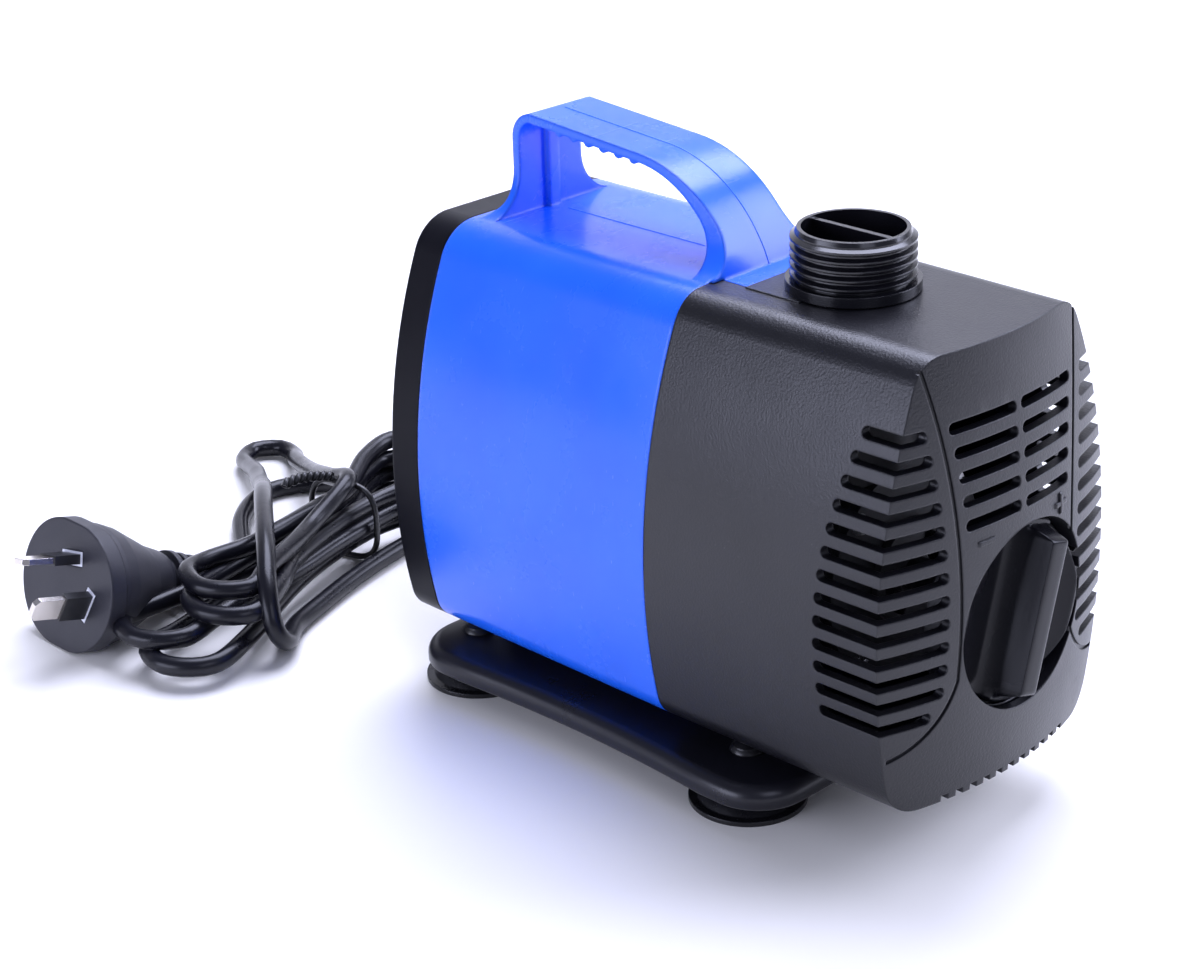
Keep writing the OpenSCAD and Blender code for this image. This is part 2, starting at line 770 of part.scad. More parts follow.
module base_frame() {
    color(black) difference() {
        union() {
            translate([0, 0, plate_z0]) linear_extrude(plate_z1 - plate_z0 - 1) base_plan();
            translate([0, 0, plate_z1 - 1]) linear_extrude(1) base_plan(1);
            // rails that carry the housing
            for (x = [-16, 16]) translate([x - 4, base_y0 + 6, plate_z1 - 0.5])
                cube([8, base_l - 18, body_z0 - plate_z1 + 0.5]);
        }
        for (x = [-cup_x, cup_x]) for (y = cup_y) translate([x, y, 0]) cylinder(h = far, r = 3.6);
        for (x = [-16, 16]) for (y = [0, 60]) translate([x, y, 0]) {
            cylinder(h = far, r = 1.7, $fn = 32);
            translate([0, 0, plate_z0 - 1]) cylinder(h = 3.4, r = 3.4, $fn = 32);
        }
        // hollow underside
        translate([-7, base_y0 + 10, 0]) cube([14, base_l - 20, plate_z1 - 2.4]);
    }
}

module base_screws() {
    color(steel) for (x = [-16, 16]) for (y = [0, 60])
        translate([x, y, plate_z0 + 2.4]) screw(1.6, body_z0 - plate_z0 - 2.4, 3.1, 1.6);
}

module suction_cup(x, y) {
    color(rubber) translate([x, y, 0]) difference() {
        rotate_extrude() {
            // cup: a thin lip, a domed back and a stalk
            difference() {
                union() {
                    square([cup_r, 1.2]);
                    intersection() {
                        translate([0, -9.2]) circle(r = 16);
                        square([cup_r, 6.9]);
                    }
                }
                translate([0, -11.6]) circle(r = 16);
            }
            translate([0, 5]) square([3.5, 9.4]);
            // head above the base frame
            translate([0, plate_z1 + 0.1]) intersection() {
                translate([0, -2]) circle(r = 4.8);
                square([4.6, 2.6]);
            }
        }
        translate([0, 0, plate_z1 + 1]) cylinder(h = 5, r = 1.2, $fn = 24);
    }
}

// ---------- cable and cord ----------
module cable_gland() {
    color(black) difference() {
        union() {
            rod_y(rear_y - 4, rear_y + 1, 6.4, 0, gland_z);
            translate([0, rear_y + 6.4, gland_z]) rotate([90, 0, 0]) cylinder(h = 6.3, r = 9.4, $fn = 6);
            rod_y(rear_y, rear_y + 8, 7.4, 0, gland_z);
        }
        rod_y(rear_y - 5, rear_y + 9, cord_d / 2 + 0.1, 0, gland_z);
    }
}

module gland_boot() {
    length = boot_end - rear_y - 8;
    color(rubber) translate([0, rear_y + 8, gland_z]) rotate([-90, 0, 0]) {
        cylinder(h = length, r1 = 5.6, r2 = cord_d / 2 + 0.5);
        for (k = [0 : 4]) translate([0, 0, 3 + 4 * k]) cylinder(h = 1.8, r = 6 - 0.45 * k);
    }
}

module cord_lead() {
    color(gloss_black) tube(lead_route, cord_d);
}

module cord_loop() {
    color(gloss_black) tube(loop_route, cord_d);
}

module cord_tail() {
    color(gloss_black) tube(tail_route, cord_d);
}

module hank_frame() {
    translate([hank_mid[0], hank_mid[1], 0]) rotate([0, 0, hank_turn]) children();
}

module cord_hank() {
    r = hank_w / 2;
    color(gloss_black) hank_frame() translate([0, 0, hank_z0]) linear_extrude(hank_z1 - hank_z0) {
        square([hank_l - hank_w, hank_w], center = true);
        for (s = [-1, 1]) translate([s * (hank_l / 2 - r), 0]) circle(r = r);
    }
}

module cord_tie() {
    color(gloss_black) hank_frame() translate([22, 0, 0]) difference() {
        translate([-1.5, -hank_w / 2 - 1.2, 0.05]) cube([3, hank_w + 2.4, hank_z1 + 1.1]);
        translate([-5, -hank_w / 2, hank_z0]) cube([10, hank_w, hank_z1 - hank_z0]);
    }
}

// ---------- plug ----------
pin_w = 6.35;
pin_t = 1.63;
pin_l = 17.1;
sleeve_l = 8;
pin_ring = 7.92;                             // distance of each pin from the middle of the face

// The plug's own frame: +Z along the pins from the middle of the face, +X from the middle to between the pins
module plug_frame() {
    translate(plug_face) rotate([0, plug_tilt - 90, 0]) rotate([0, 0, plug_roll]) children();
}

// Places a pin on each side, with its width along the circle about the middle
module at_pins() {
    for (a = [-60, 60]) rotate([0, 0, a]) translate([pin_ring, 0, 0]) children();
}

module plug_body() {
    face_r = 17.4;
    face_wide = 3;                           // how far the oval face reaches past the circle, on each side
    face_t = 5;                              // thickness of the oval face plate
    back = -47;                              // end of the ribbed strain relief
    color(black) plug_frame() difference() {
        union() {
            rotate([0, 0, -plug_roll]) translate([0, 2.2, -face_t]) linear_extrude(face_t) {
                for (y = [-face_wide, face_wide]) translate([0, y]) circle(r = face_r);
                square([2 * face_r, 2 * face_wide], center = true);
            }
            rotate_extrude() polygon([
                [0, -1], [face_r - 0.4, -1], [face_r - 0.4, -7], [face_r - 1.6, -11],
                [13, -16.5], [10.2, -22], [8.6, -27], [7.6, -29],
                // ribbed strain relief
                for (k = [0 : 4]) each [
                    [6.2 - 0.55 * k, -29.2 - 3.4 * k], [6.1 - 0.55 * k, -30.8 - 3.4 * k],
                    [8.2 - 0.8 * k, -30.9 - 3.4 * k], [8.1 - 0.8 * k, -32.6 - 3.4 * k]
                ],
                [3.6, -46.4], [3.4, back], [0, back]
            ]);
        }
        at_pins() translate([0, 0, 0.01 - 3]) cube([2 * 2, 9.2, 6], center = true);
    }
}

module plug_pins() {
    color(steel) plug_frame() at_pins() difference() {
        translate([-pin_t / 2, -pin_w / 2, -5.8]) cube([pin_t, pin_w, pin_l + 5.8]);
        for (s = [-1, 1]) translate([0, s * pin_w / 2, pin_l]) rotate([45, 0, 0])
            cube([far, 1.9, 1.9], center = true);
    }
}

module pin_sleeves() {
    color(black) plug_frame() at_pins() difference() {
        translate([-pin_t / 2 - 0.5, -pin_w / 2 - 0.5, 0.05]) cube([pin_t + 1, pin_w + 1, sleeve_l]);
        cube([pin_t, pin_w, far], center = true);
    }
}

module pin_inserts() {
    color(ceramic) plug_frame() at_pins() difference() {
        translate([-1.95, -4.55, -5.9]) cube([3.9, 9.1, 5.95]);
        translate([-pin_t / 2, -pin_w / 2, -5.8]) cube([pin_t, pin_w, far]);
    }
}

motor_housing();
rear_cover();
rear_screws();
strainer_housing();
outlet_nozzle();
outlet_oring();
volute_casing();
volute_neck();
inlet_plate();
volute_screws();
chamber_oring();
flow_knob();
flow_shutter();
knob_clip();
impeller();
rotor_magnet();
rotor_shaft();
front_bearing();
rear_bearing();
rotor_can();
stator_core();
bobbin_left();
bobbin_right();
winding_left();
winding_right();
potting_block();
base_frame();
base_screws();
suction_cup(-cup_x, cup_y[0]);  // suction_cup_1
suction_cup(cup_x, cup_y[0]);  // suction_cup_2
suction_cup(-cup_x, cup_y[1]);  // suction_cup_3
suction_cup(cup_x, cup_y[1]);  // suction_cup_4
cable_gland();
gland_boot();
cord_lead();
cord_hank();
cord_loop();
cord_tail();
cord_tie();
plug_body();
plug_pins();
pin_sleeves();
pin_inserts();
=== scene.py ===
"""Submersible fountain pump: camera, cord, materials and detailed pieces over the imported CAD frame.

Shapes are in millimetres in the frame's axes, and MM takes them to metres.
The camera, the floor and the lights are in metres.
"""
import json
import math
import bmesh
import bpy
from mathutils import Matrix, Vector


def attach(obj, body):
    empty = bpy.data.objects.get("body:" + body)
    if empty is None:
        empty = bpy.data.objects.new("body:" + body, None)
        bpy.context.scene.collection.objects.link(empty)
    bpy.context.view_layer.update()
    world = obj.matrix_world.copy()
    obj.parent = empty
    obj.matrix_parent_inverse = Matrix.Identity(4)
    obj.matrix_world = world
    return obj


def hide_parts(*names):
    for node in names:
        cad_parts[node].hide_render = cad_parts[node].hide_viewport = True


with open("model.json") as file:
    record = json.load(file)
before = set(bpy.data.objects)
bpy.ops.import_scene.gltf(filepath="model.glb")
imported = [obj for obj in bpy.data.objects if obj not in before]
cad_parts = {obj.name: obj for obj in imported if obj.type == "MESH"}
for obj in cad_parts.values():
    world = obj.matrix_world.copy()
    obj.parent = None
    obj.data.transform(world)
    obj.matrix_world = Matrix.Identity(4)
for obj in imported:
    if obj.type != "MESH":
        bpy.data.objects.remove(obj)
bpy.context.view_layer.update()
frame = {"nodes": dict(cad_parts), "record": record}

MM = 0.001

# ---------- camera ----------
CAMERA_AT = (-0.4247, -0.3822, 0.3153)
VIEW_AZIMUTH = -44.44
VIEW_TILT = 21.63
VIEW_ROLL = -1.75
FOCAL = 77.4
SHIFT_Y = -0.0752


def make_camera():
    """A camera at the viewing angle: azimuth 0 looks along +Y, tilt looks down."""
    data = bpy.data.cameras.new("camera")
    data.lens = FOCAL
    data.shift_y = SHIFT_Y
    data.clip_start = 0.01
    camera = bpy.data.objects.new("camera", data)
    bpy.context.scene.collection.objects.link(camera)
    turn = Matrix.Rotation(math.radians(VIEW_AZIMUTH), 4, "Z")
    tilt = Matrix.Rotation(math.radians(90 - VIEW_TILT), 4, "X")
    roll = Matrix.Rotation(math.radians(VIEW_ROLL), 4, "Z")
    camera.matrix_world = Matrix.Translation(CAMERA_AT) @ turn @ tilt @ roll
    bpy.context.scene.camera = camera


make_camera()


# ---------- helpers ----------
def add_object(name, data, material, body="pump"):
    """A new piece that rides on a body."""
    piece = bpy.data.objects.new(name, data)
    bpy.context.scene.collection.objects.link(piece)
    data.materials.append(material)
    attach(piece, body)
    return piece


def mesh_piece(name, verts, faces, material, body="pump", smooth=True):
    """A mesh from points in millimetres, with joined seams and outward faces."""
    mesh = bpy.data.meshes.new(name)
    mesh.from_pydata([Vector(v) * MM for v in verts], [], faces)
    work = bmesh.new()
    work.from_mesh(mesh)
    bmesh.ops.remove_doubles(work, verts=work.verts, dist=1e-6)
    bmesh.ops.recalc_face_normals(work, faces=work.faces)
    work.to_mesh(mesh)
    work.free()
    if smooth:
        mesh.shade_smooth()
    return add_object(name, mesh, material, body)


def smooth_by_angle(piece, degrees):
    """Marks edges sharper than the angle as hard."""
    work = bmesh.new()
    work.from_mesh(piece.data)
    for edge in work.edges:
        edge.smooth = edge.calc_face_angle(0) < math.radians(degrees)
    work.to_mesh(piece.data)
    work.free()


def on_curve(points, spacing):
    """Points along a Catmull-Rom curve through the given ones, about spacing apart."""
    p = [Vector(q) for q in points]
    out = []
    for i in range(len(p) - 1):
        a = p[max(i - 1, 0)]
        b, c = p[i], p[i + 1]
        d = p[min(i + 2, len(p) - 1)]
        steps = max(1, round((c - b).length / spacing))
        for k in range(steps):
            t = k / steps
            out.append(0.5 * (2 * b + (c - a) * t + (2 * a - 5 * b + 4 * c - d) * t * t
                              + (3 * b - a - 3 * c + d) * t ** 3))
    out.append(p[-1])
    return out


def curve_piece(name, points, radius, material, closed=False, sides=4):
    """A round strand through the points, closed into a loop if asked."""
    data = bpy.data.curves.new(name, "CURVE")
    data.dimensions = "3D"
    data.bevel_depth = radius * MM
    data.bevel_resolution = sides
    data.use_fill_caps = True
    spline = data.splines.new("POLY")
    spline.points.add(len(points) - 1)
    for knot, point in zip(spline.points, points):
        knot.co = (*(Vector(point) * MM), 1)
    spline.use_cyclic_u = closed
    spline.use_smooth = True
    return add_object(name, data, material)


def lathe(name, profile, axis_at, turn, material, body="pump", steps=96):
    """Turns a closed outline of (radius, height) pairs about an axis; turn takes +Z to the axis."""
    verts = []
    for k in range(steps):
        a = 2 * math.pi * k / steps
        verts += [turn @ Vector((r * math.cos(a), r * math.sin(a), h)) + axis_at for r, h in profile]
    n = len(profile)
    faces = []
    for k in range(steps):
        this, following = k * n, (k + 1) % steps * n
        faces += [(this + i, this + (i + 1) % n, following + (i + 1) % n, following + i) for i in range(n)]
    return mesh_piece(name, verts, faces, material, body)


# ---------- materials ----------
MIX_SCALE = 40
COAT_ROUGH = 0.12
GLOSS_SCALE = 55
BEVEL_SAMPLES = 6
SPECK_SCALE, SPECK_COLOUR, PATCH_SCALE = 420, (0.55, 0.55, 0.58), 120
SCRATCH_SCALE, SCRATCH_TURN = (40, 900, 300), (0.3, 0.5, 0.9)


def noise(tree, coords, scale, detail=3.0, rough=0.5):
    node = tree.nodes.new("ShaderNodeTexNoise")
    node.inputs["Scale"].default_value = scale
    node.inputs["Detail"].default_value = detail
    node.inputs["Roughness"].default_value = rough
    tree.links.new(coords, node.inputs["Vector"])
    return node.outputs["Fac"]


def spread(tree, value, low, high, start=0.3, end=0.7):
    """Takes a value from between start and end to between low and high."""
    node = tree.nodes.new("ShaderNodeMapRange")
    node.inputs["From Min"].default_value = start
    node.inputs["From Max"].default_value = end
    node.inputs["To Min"].default_value = low
    node.inputs["To Max"].default_value = high
    tree.links.new(value, node.inputs["Value"])
    return node.outputs["Result"]


def scaled(tree, coords, scale, turn=(0, 0, 0)):
    node = tree.nodes.new("ShaderNodeMapping")
    node.inputs["Scale"].default_value = scale
    node.inputs["Rotation"].default_value = turn
    tree.links.new(coords, node.inputs["Vector"])
    return node.outputs["Vector"]


def combine(tree, operation, first, second):
    node = tree.nodes.new("ShaderNodeMath")
    node.operation = operation
    tree.links.new(first, node.inputs[0])
    tree.links.new(second, node.inputs[1])
    return node.outputs[0]


def mix(tree, factor, second):
    """A mix towards the second colour: its empty first input, and its result."""
    node = tree.nodes.new("ShaderNodeMix")
    node.data_type = "RGBA"
    node.inputs["B"].default_value = (*second, 1)
    tree.links.new(factor, node.inputs["Factor"])
    return node.inputs["A"], node.outputs["Result"]


def bump(tree, height, distance, normal):
    node = tree.nodes.new("ShaderNodeBump")
    node.inputs["Strength"].default_value = 1.0
    node.inputs["Distance"].default_value = distance * MM
    tree.links.new(height, node.inputs["Height"])
    tree.links.new(normal, node.inputs["Normal"])
    return node.outputs["Normal"]


def speckled(tree, coords, shade, amount):
    """The shade with fine pale dust over it, in patches."""
    cells = tree.nodes.new("ShaderNodeTexVoronoi")
    cells.inputs["Scale"].default_value = SPECK_SCALE
    tree.links.new(coords, cells.inputs["Vector"])
    dots = spread(tree, cells.outputs["Distance"], amount, 0, 0.03, 0.12)
    patches = spread(tree, noise(tree, coords, PATCH_SCALE), 0, 1, 0.55, 0.7)
    first, result = mix(tree, combine(tree, "MULTIPLY", dots, patches), SPECK_COLOUR)
    tree.links.new(shade, first)
    return result


def scratched(tree, coords, gloss, amount):
    """The roughness raised along fine straight lines."""
    streaks = noise(tree, scaled(tree, coords, SCRATCH_SCALE, SCRATCH_TURN), 1.0, 2)
    return combine(tree, "ADD", gloss, spread(tree, streaks, 0, amount, 0.68, 0.8))


def finish_material(name, colour, other, rough, metal=0.0, grain=(900, 0.02), wave=(60, 0.0), bevel=0.4,
                    coat=0.0, level=0.5, scratch=0.0, specks=0.0, stretch=(1, 1, 1)):
    """Colour drifts between two tones, roughness between two values, over fine grain and slow waves.

    grain and wave are each a noise scale and a depth in millimetres; bevel is a radius in millimetres.
    """
    material = bpy.data.materials.new(name)
    material.use_nodes = True
    tree = material.node_tree
    shader = tree.nodes["Principled BSDF"]
    shader.inputs["Metallic"].default_value = metal
    shader.inputs["Specular IOR Level"].default_value = level
    shader.inputs["Coat Weight"].default_value = coat
    shader.inputs["Coat Roughness"].default_value = COAT_ROUGH
    coords = tree.nodes.new("ShaderNodeTexCoord").outputs["Object"]
    stretched = scaled(tree, coords, stretch)

    first, shade = mix(tree, spread(tree, noise(tree, stretched, MIX_SCALE), 0, 1), other)
    first.default_value = (*colour, 1)
    if specks:
        shade = speckled(tree, coords, shade, specks)
    tree.links.new(shade, shader.inputs["Base Color"])

    gloss = spread(tree, noise(tree, coords, GLOSS_SCALE, 5, 0.6), *rough)
    if scratch:
        gloss = scratched(tree, coords, gloss, scratch)
    tree.links.new(gloss, shader.inputs["Roughness"])

    edge = tree.nodes.new("ShaderNodeBevel")
    edge.samples = BEVEL_SAMPLES
    edge.inputs["Radius"].default_value = bevel * MM
    normal = bump(tree, noise(tree, stretched, grain[0], 2), grain[1], edge.outputs["Normal"])
    if wave[1]:
        normal = bump(tree, noise(tree, coords, wave[0], 1), wave[1], normal)
    tree.links.new(normal, shader.inputs["Normal"])
    return material


LOOKS = {
    "blue_abs": dict(
        colour=(0.008, 0.125, 0.84), other=(0.013, 0.145, 0.93), rough=(0.22, 0.30),
        grain=(1500, 0.006), wave=(22, 0.25), bevel=1.3, coat=0.15, scratch=0.05),
    # The mould line's lighter blue is a painted highlight: the ridge catching light, not a paler plastic.
    "blue_line_painted_highlight": dict(
        colour=(0.05, 0.22, 0.90), other=(0.07, 0.25, 0.95), rough=(0.22, 0.3),
        bevel=0.04),
    "satin_black": dict(
        colour=(0.004, 0.004, 0.006), other=(0.007, 0.007, 0.010), rough=(0.30, 0.38),
        grain=(1700, 0.07), wave=(25, 0.1), bevel=0.6, scratch=0.04, specks=0.05),
    "cap_black": dict(
        colour=(0.004, 0.004, 0.007), other=(0.007, 0.007, 0.010), rough=(0.30, 0.40),
        grain=(2400, 0.012), wave=(30, 0.1), bevel=0.8, scratch=0.04, level=0.1),
    "knob_black": dict(
        colour=(0.003, 0.003, 0.005), other=(0.006, 0.006, 0.008), rough=(0.18, 0.28),
        grain=(1500, 0.008), bevel=0.3, scratch=0.06, level=0.2),
    "base_black": dict(
        colour=(0.007, 0.007, 0.011), other=(0.011, 0.011, 0.016), rough=(0.26, 0.34),
        grain=(2400, 0.012), wave=(30, 0.1), bevel=0.5, scratch=0.05, level=0.4),
    "gloss_black": dict(
        colour=(0.005, 0.005, 0.007), other=(0.008, 0.008, 0.011), rough=(0.16, 0.24),
        grain=(1600, 0.008), bevel=0.3, coat=0.2),
    "inner_black": dict(
        colour=(0.022, 0.022, 0.024), other=(0.030, 0.030, 0.033), rough=(0.42, 0.55),
        grain=(1800, 0.02)),
    "stainless": dict(
        colour=(0.58, 0.58, 0.59), other=(0.66, 0.66, 0.67), rough=(0.22, 0.34),
        metal=1.0, grain=(2200, 0.006), bevel=0.15, scratch=0.1),
    "nitrile": dict(
        colour=(0.015, 0.015, 0.016), other=(0.024, 0.024, 0.025), rough=(0.5, 0.62)),
    "impeller_plastic": dict(
        colour=(0.80, 0.79, 0.74), other=(0.86, 0.85, 0.81), rough=(0.4, 0.5),
        bevel=0.3),
    "ferrite": dict(
        colour=(0.05, 0.05, 0.055), other=(0.075, 0.075, 0.08), rough=(0.5, 0.65),
        grain=(1300, 0.04), specks=0.15),
    "shaft_ceramic": dict(
        colour=(0.85, 0.84, 0.79), other=(0.90, 0.89, 0.85), rough=(0.12, 0.2)),
    "lamination_steel": dict(
        colour=(0.36, 0.37, 0.39), other=(0.46, 0.47, 0.49), rough=(0.35, 0.5),
        metal=1.0, grain=(900, 0.05), stretch=(0.05, 0.05, 2.2)),
    "bobbin_nylon": dict(
        colour=(0.76, 0.73, 0.62), other=(0.84, 0.81, 0.72), rough=(0.4, 0.5)),
    "winding_copper": dict(
        colour=(0.50, 0.19, 0.06), other=(0.66, 0.30, 0.12), rough=(0.22, 0.32),
        metal=1.0, grain=(1100, 0.12), stretch=(0.1, 2.4, 0.1)),
    "potting_resin": dict(
        colour=(0.035, 0.031, 0.027), other=(0.05, 0.045, 0.04), rough=(0.25, 0.4),
        wave=(30, 0.3)),
    "cup_rubber": dict(
        colour=(0.006, 0.006, 0.008), other=(0.010, 0.010, 0.012), rough=(0.22, 0.34),
        grain=(1400, 0.015), wave=(70, 0.08), bevel=0.5, specks=0.35),
    "gland_black": dict(
        colour=(0.022, 0.022, 0.025), other=(0.03, 0.03, 0.034), rough=(0.38, 0.48)),
    "boot_rubber": dict(
        colour=(0.018, 0.018, 0.019), other=(0.026, 0.026, 0.028), rough=(0.42, 0.55)),
    "cord_pvc": dict(
        colour=(0.004, 0.004, 0.007), other=(0.007, 0.007, 0.011), rough=(0.24, 0.34),
        grain=(1500, 0.012), wave=(260, 0.05), coat=0.05, specks=0.06, level=0.3),
    "tie_pvc": dict(
        colour=(0.015, 0.015, 0.016), other=(0.022, 0.022, 0.024), rough=(0.25, 0.35)),
    "plug_pvc": dict(
        colour=(0.020, 0.020, 0.028), other=(0.028, 0.028, 0.037), rough=(0.42, 0.55),
        grain=(2400, 0.035), wave=(40, 0.1), bevel=1.0),
    "pin_nickel": dict(
        colour=(0.80, 0.74, 0.68), other=(0.86, 0.81, 0.76), rough=(0.16, 0.3),
        metal=1.0, grain=(1800, 0.008), bevel=0.2, scratch=0.12),
    "sleeve_nylon": dict(
        colour=(0.016, 0.016, 0.018), other=(0.024, 0.024, 0.026), rough=(0.3, 0.4),
        bevel=0.2),
    "insert_nylon": dict(
        colour=(0.74, 0.76, 0.84), other=(0.82, 0.84, 0.90), rough=(0.35, 0.45),
        bevel=0.2),
}
FINISHES = {name: finish_material(name, **look) for name, look in LOOKS.items()}


def finish_frame():
    """Gives each CAD node the finish of its slot, and the rear cap a smoother black."""
    for part in frame["record"]["subparts"]:
        shown = frame["nodes"][part["node"]]
        smooth_black = part["node"] == "rear_cover"
        shown.data.materials.clear()
        shown.data.materials.append(FINISHES["cap_black" if smooth_black else part["material_slot"]])


finish_frame()


# ---------- cord ----------
CORD_D = 5.2
POINT_GAP = 2.5
TURNS, FOLD_R = 4, 12.6
FLOOR_LEVEL = 2.7
HANK_MID = Vector((-19, 148, 0))
HANK_TURN = math.radians(14)
PLUG_FACE = Vector((-90, 163, 17.2))
PLUG_TILT = 16
PLUG_ROLL = -50
RELIEF_END = -46


def in_hank(along, across, height):
    """A point given along the hank, across it and above the floor."""
    c, s = math.cos(HANK_TURN), math.sin(HANK_TURN)
    return HANK_MID + Vector((along * c - across * s, along * s + across * c, height))


def hank_turns():
    """Turns of the folded hank, each lying on the last and drawn together where it is tied."""
    points = []
    near_tips = (-72, -70, -57, -52)
    far_tips = (58, 60, 56, 59)
    near_sway = (-5.0, 5.5, -7.5, -3.0)
    columns = (7.6, 4.0, 7.0, 4.4, 6.5)

    def height(turn, along):
        """Turns lie closer together where the hank is tied and at its near end."""
        pitch, tied_by, settled_by = 5.3, 1.2, 0.9
        middle = min(max((56 - abs(along)) / 30, 0), 1)
        settle = min(max((-along - 30) / 25, 0), 1)
        return FLOOR_LEVEL + turn * (pitch - tied_by * middle - settled_by * settle)

    def run(k, side, order):
        """One side of a turn, towards its far end or back."""
        fold_at = k if side > 0 else max(k - 1, 0)
        outer = min(near_tips[fold_at] + 20, -36)
        column = columns[k]
        places = [(outer, 11.2), (-20, column + 1.8), (2, column), (22, column + 0.6), (40, 10.8)]
        for along, across in places[::order]:
            lean = near_sway[fold_at] * max(-along - 10, 0) / 45
            points.append(in_hank(along, side * across + lean, height(k + (0 if side < 0 else 0.5), along)))

    def fold(k, tip, outward, sway, rise):
        """The bend at one end of a turn."""
        for degrees in (-58, 0, 58):
            a = math.radians(degrees)
            along = tip - outward * (FOLD_R - FOLD_R * math.cos(a))
            points.append(in_hank(along, outward * FOLD_R * math.sin(a) + sway, height(k + rise, tip)))

    for k in range(TURNS):
        if k == 0:
            points.append(in_hank(42, -10.6, height(0, 42)))
        else:
            run(k, -1, 1)
        fold(k, far_tips[k], 1, 0, 0.25)
        run(k, 1, -1)
        fold(k, near_tips[k], -1, near_sway[k], 0.75)
    for along, across in ((-35, -11.5), (-20, -8), (-6, -4.5)):
        points.append(in_hank(along, across, height(TURNS, along) + 0.6))
    return points


# LEAD comes out of the gland and down. OVER leaves the turns for the loose loop and lies back over them.
# FRONT runs on the floor along the pump's side of the hank and round its far end. TAIL goes on to the plug.
LEAD = [(0, 118, 38), (0, 121.5, 38), (0.4, 126, 37.2), (2.5, 131, 33.5), (7, 135, 26), (13, 139, 17),
        (19, 143, 8)]
OVER = [(-6, 148, 25), (0, 163, 20), (12, 188, 11), (22, 208, 5.5), (27.5, 216, 3.2), (28.5, 224, 3),
        (22, 229, 3), (15, 225.5, 3), (10, 216, 5), (3.5, 204, 8.6), (-5, 191, 12), (-15, 176, 18),
        (-27, 160, 24), (-39, 144, 26), (-49.5, 130, 25), (-58, 119, 19.5), (-61, 113.5, 11),
        (-56.5, 114.5, 4.8)]
FRONT = [in_hank(-33, -17.5, 3)]
FRONT += [in_hank(along, across, FLOOR_LEVEL) for along, across in (
    (-18, -15.2), (0, -13.6), (18, -13.6), (36, -15), (52, -15.5), (64, -9), (68, 3), (65, 16), (57, 26))]
TAIL = [(x, y, FLOOR_LEVEL) for x, y in (
    (20, 192.5), (13.5, 198), (6, 200.5), (-3, 198), (-13, 190.5), (-20, 181.5), (-26, 173))]
TAIL += [(-32, 167, 2.9), (-38.5, 164, 3.5)]


def plug_turn():
    """The matrix that takes the plug's own frame, +Z along its pins, to the pump's."""
    return (Matrix.Rotation(math.radians(PLUG_TILT - 90), 3, "Y")
            @ Matrix.Rotation(math.radians(PLUG_ROLL), 3, "Z"))


def make_cord():
    """The whole cord as one strand, from inside the gland to inside the plug's relief."""
    relief = PLUG_FACE + plug_turn() @ Vector((0, 0, RELIEF_END))
    route = LEAD + hank_turns() + OVER + FRONT + TAIL + [relief]
    line = on_curve(route, POINT_GAP)
    cord = curve_piece("mains_cord", line, CORD_D / 2, FINISHES["cord_pvc"], sides=5)
    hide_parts("cord_lead", "cord_hank", "cord_loop", "cord_tail")


make_cord()


def make_tie():
    """A covered wire twisted once round the hank, its two ends turned together and laid down."""
    half_w, top, low = 11.4, 23.5, 0.9
    tie_at, twists = 14, 4
    loop_r, end_r, twist_r, flat = 0.85, 0.8, 0.85, 0.3
    loop_steps, end_steps = 48, 40
    loop = []
    for k in range(loop_steps):
        a = 2 * math.pi * k / loop_steps
        across = half_w * abs(math.cos(a)) ** 0.6 * math.copysign(1, math.cos(a))
        height = (top + low) / 2 + (top - low) / 2 * abs(math.sin(a)) ** 0.7 * math.copysign(1, math.sin(a))
        loop.append(in_hank(tie_at, across, height))
    tie = curve_piece("wire_tie", loop, loop_r, FINISHES["tie_pvc"], closed=True)
    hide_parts("cord_tie")
    for number, start in ((2, 0), (1, math.pi)):
        twist = []
        for k in range(end_steps + 1):
            t = k / end_steps
            a = start + 2 * math.pi * twists * t
            centre = in_hank(tie_at - 15 * t, 3 + 6 * t, 24.6 + 2.5 * math.sin(2.2 * t))
            twist.append(centre + Vector((flat * math.cos(a), twist_r * math.cos(a), twist_r * math.sin(a))))
        curve_piece("tie_end_%d" % number, twist, end_r, FINISHES["tie_pvc"])


make_tie()


# ---------- base frame ----------
BASE_Y0, BASE_L, BASE_W = -43, 123, 89
PLATE_Z0, PLATE_Z1 = 7, 12.8
LOBE_R = 14
WAIST_R, WAIST_IN = 420, 2
RAIL_X, RAIL_TOP = 16, 17


def base_outline():
    """Points round the base frame's plan: lobes at the corners and slightly hollow sides."""
    half = BASE_W / 2 - LOBE_R
    y0, y1 = BASE_Y0 + LOBE_R, BASE_Y0 + BASE_L - LOBE_R
    lobe_steps, side_steps = 14, 16
    corners = []
    for x, y, start in ((half, y1, 0), (-half, y1, 90), (-half, y0, 180), (half, y0, 270)):
        for k in range(lobe_steps + 1):
            a = math.radians(start + 90 * k / lobe_steps)
            corners.append([x + LOBE_R * math.cos(a), y + LOBE_R * math.sin(a)])
    outline = []
    for i, (x, y) in enumerate(corners):
        outline.append([x, y])
        gap = corners[(i + 1) % len(corners)][1] - y
        if abs(gap) > LOBE_R:
            outline += [[x, y + gap * k / side_steps] for k in range(1, side_steps)]
    middle, side_band = BASE_Y0 + BASE_L / 2, 6
    for point in outline:
        if abs(point[0]) > BASE_W / 2 - side_band:
            waist = BASE_W / 2 - WAIST_IN + WAIST_R - math.sqrt(WAIST_R ** 2 - (point[1] - middle) ** 2)
            point[0] = math.copysign(min(abs(point[0]), waist), point[0])
    return outline


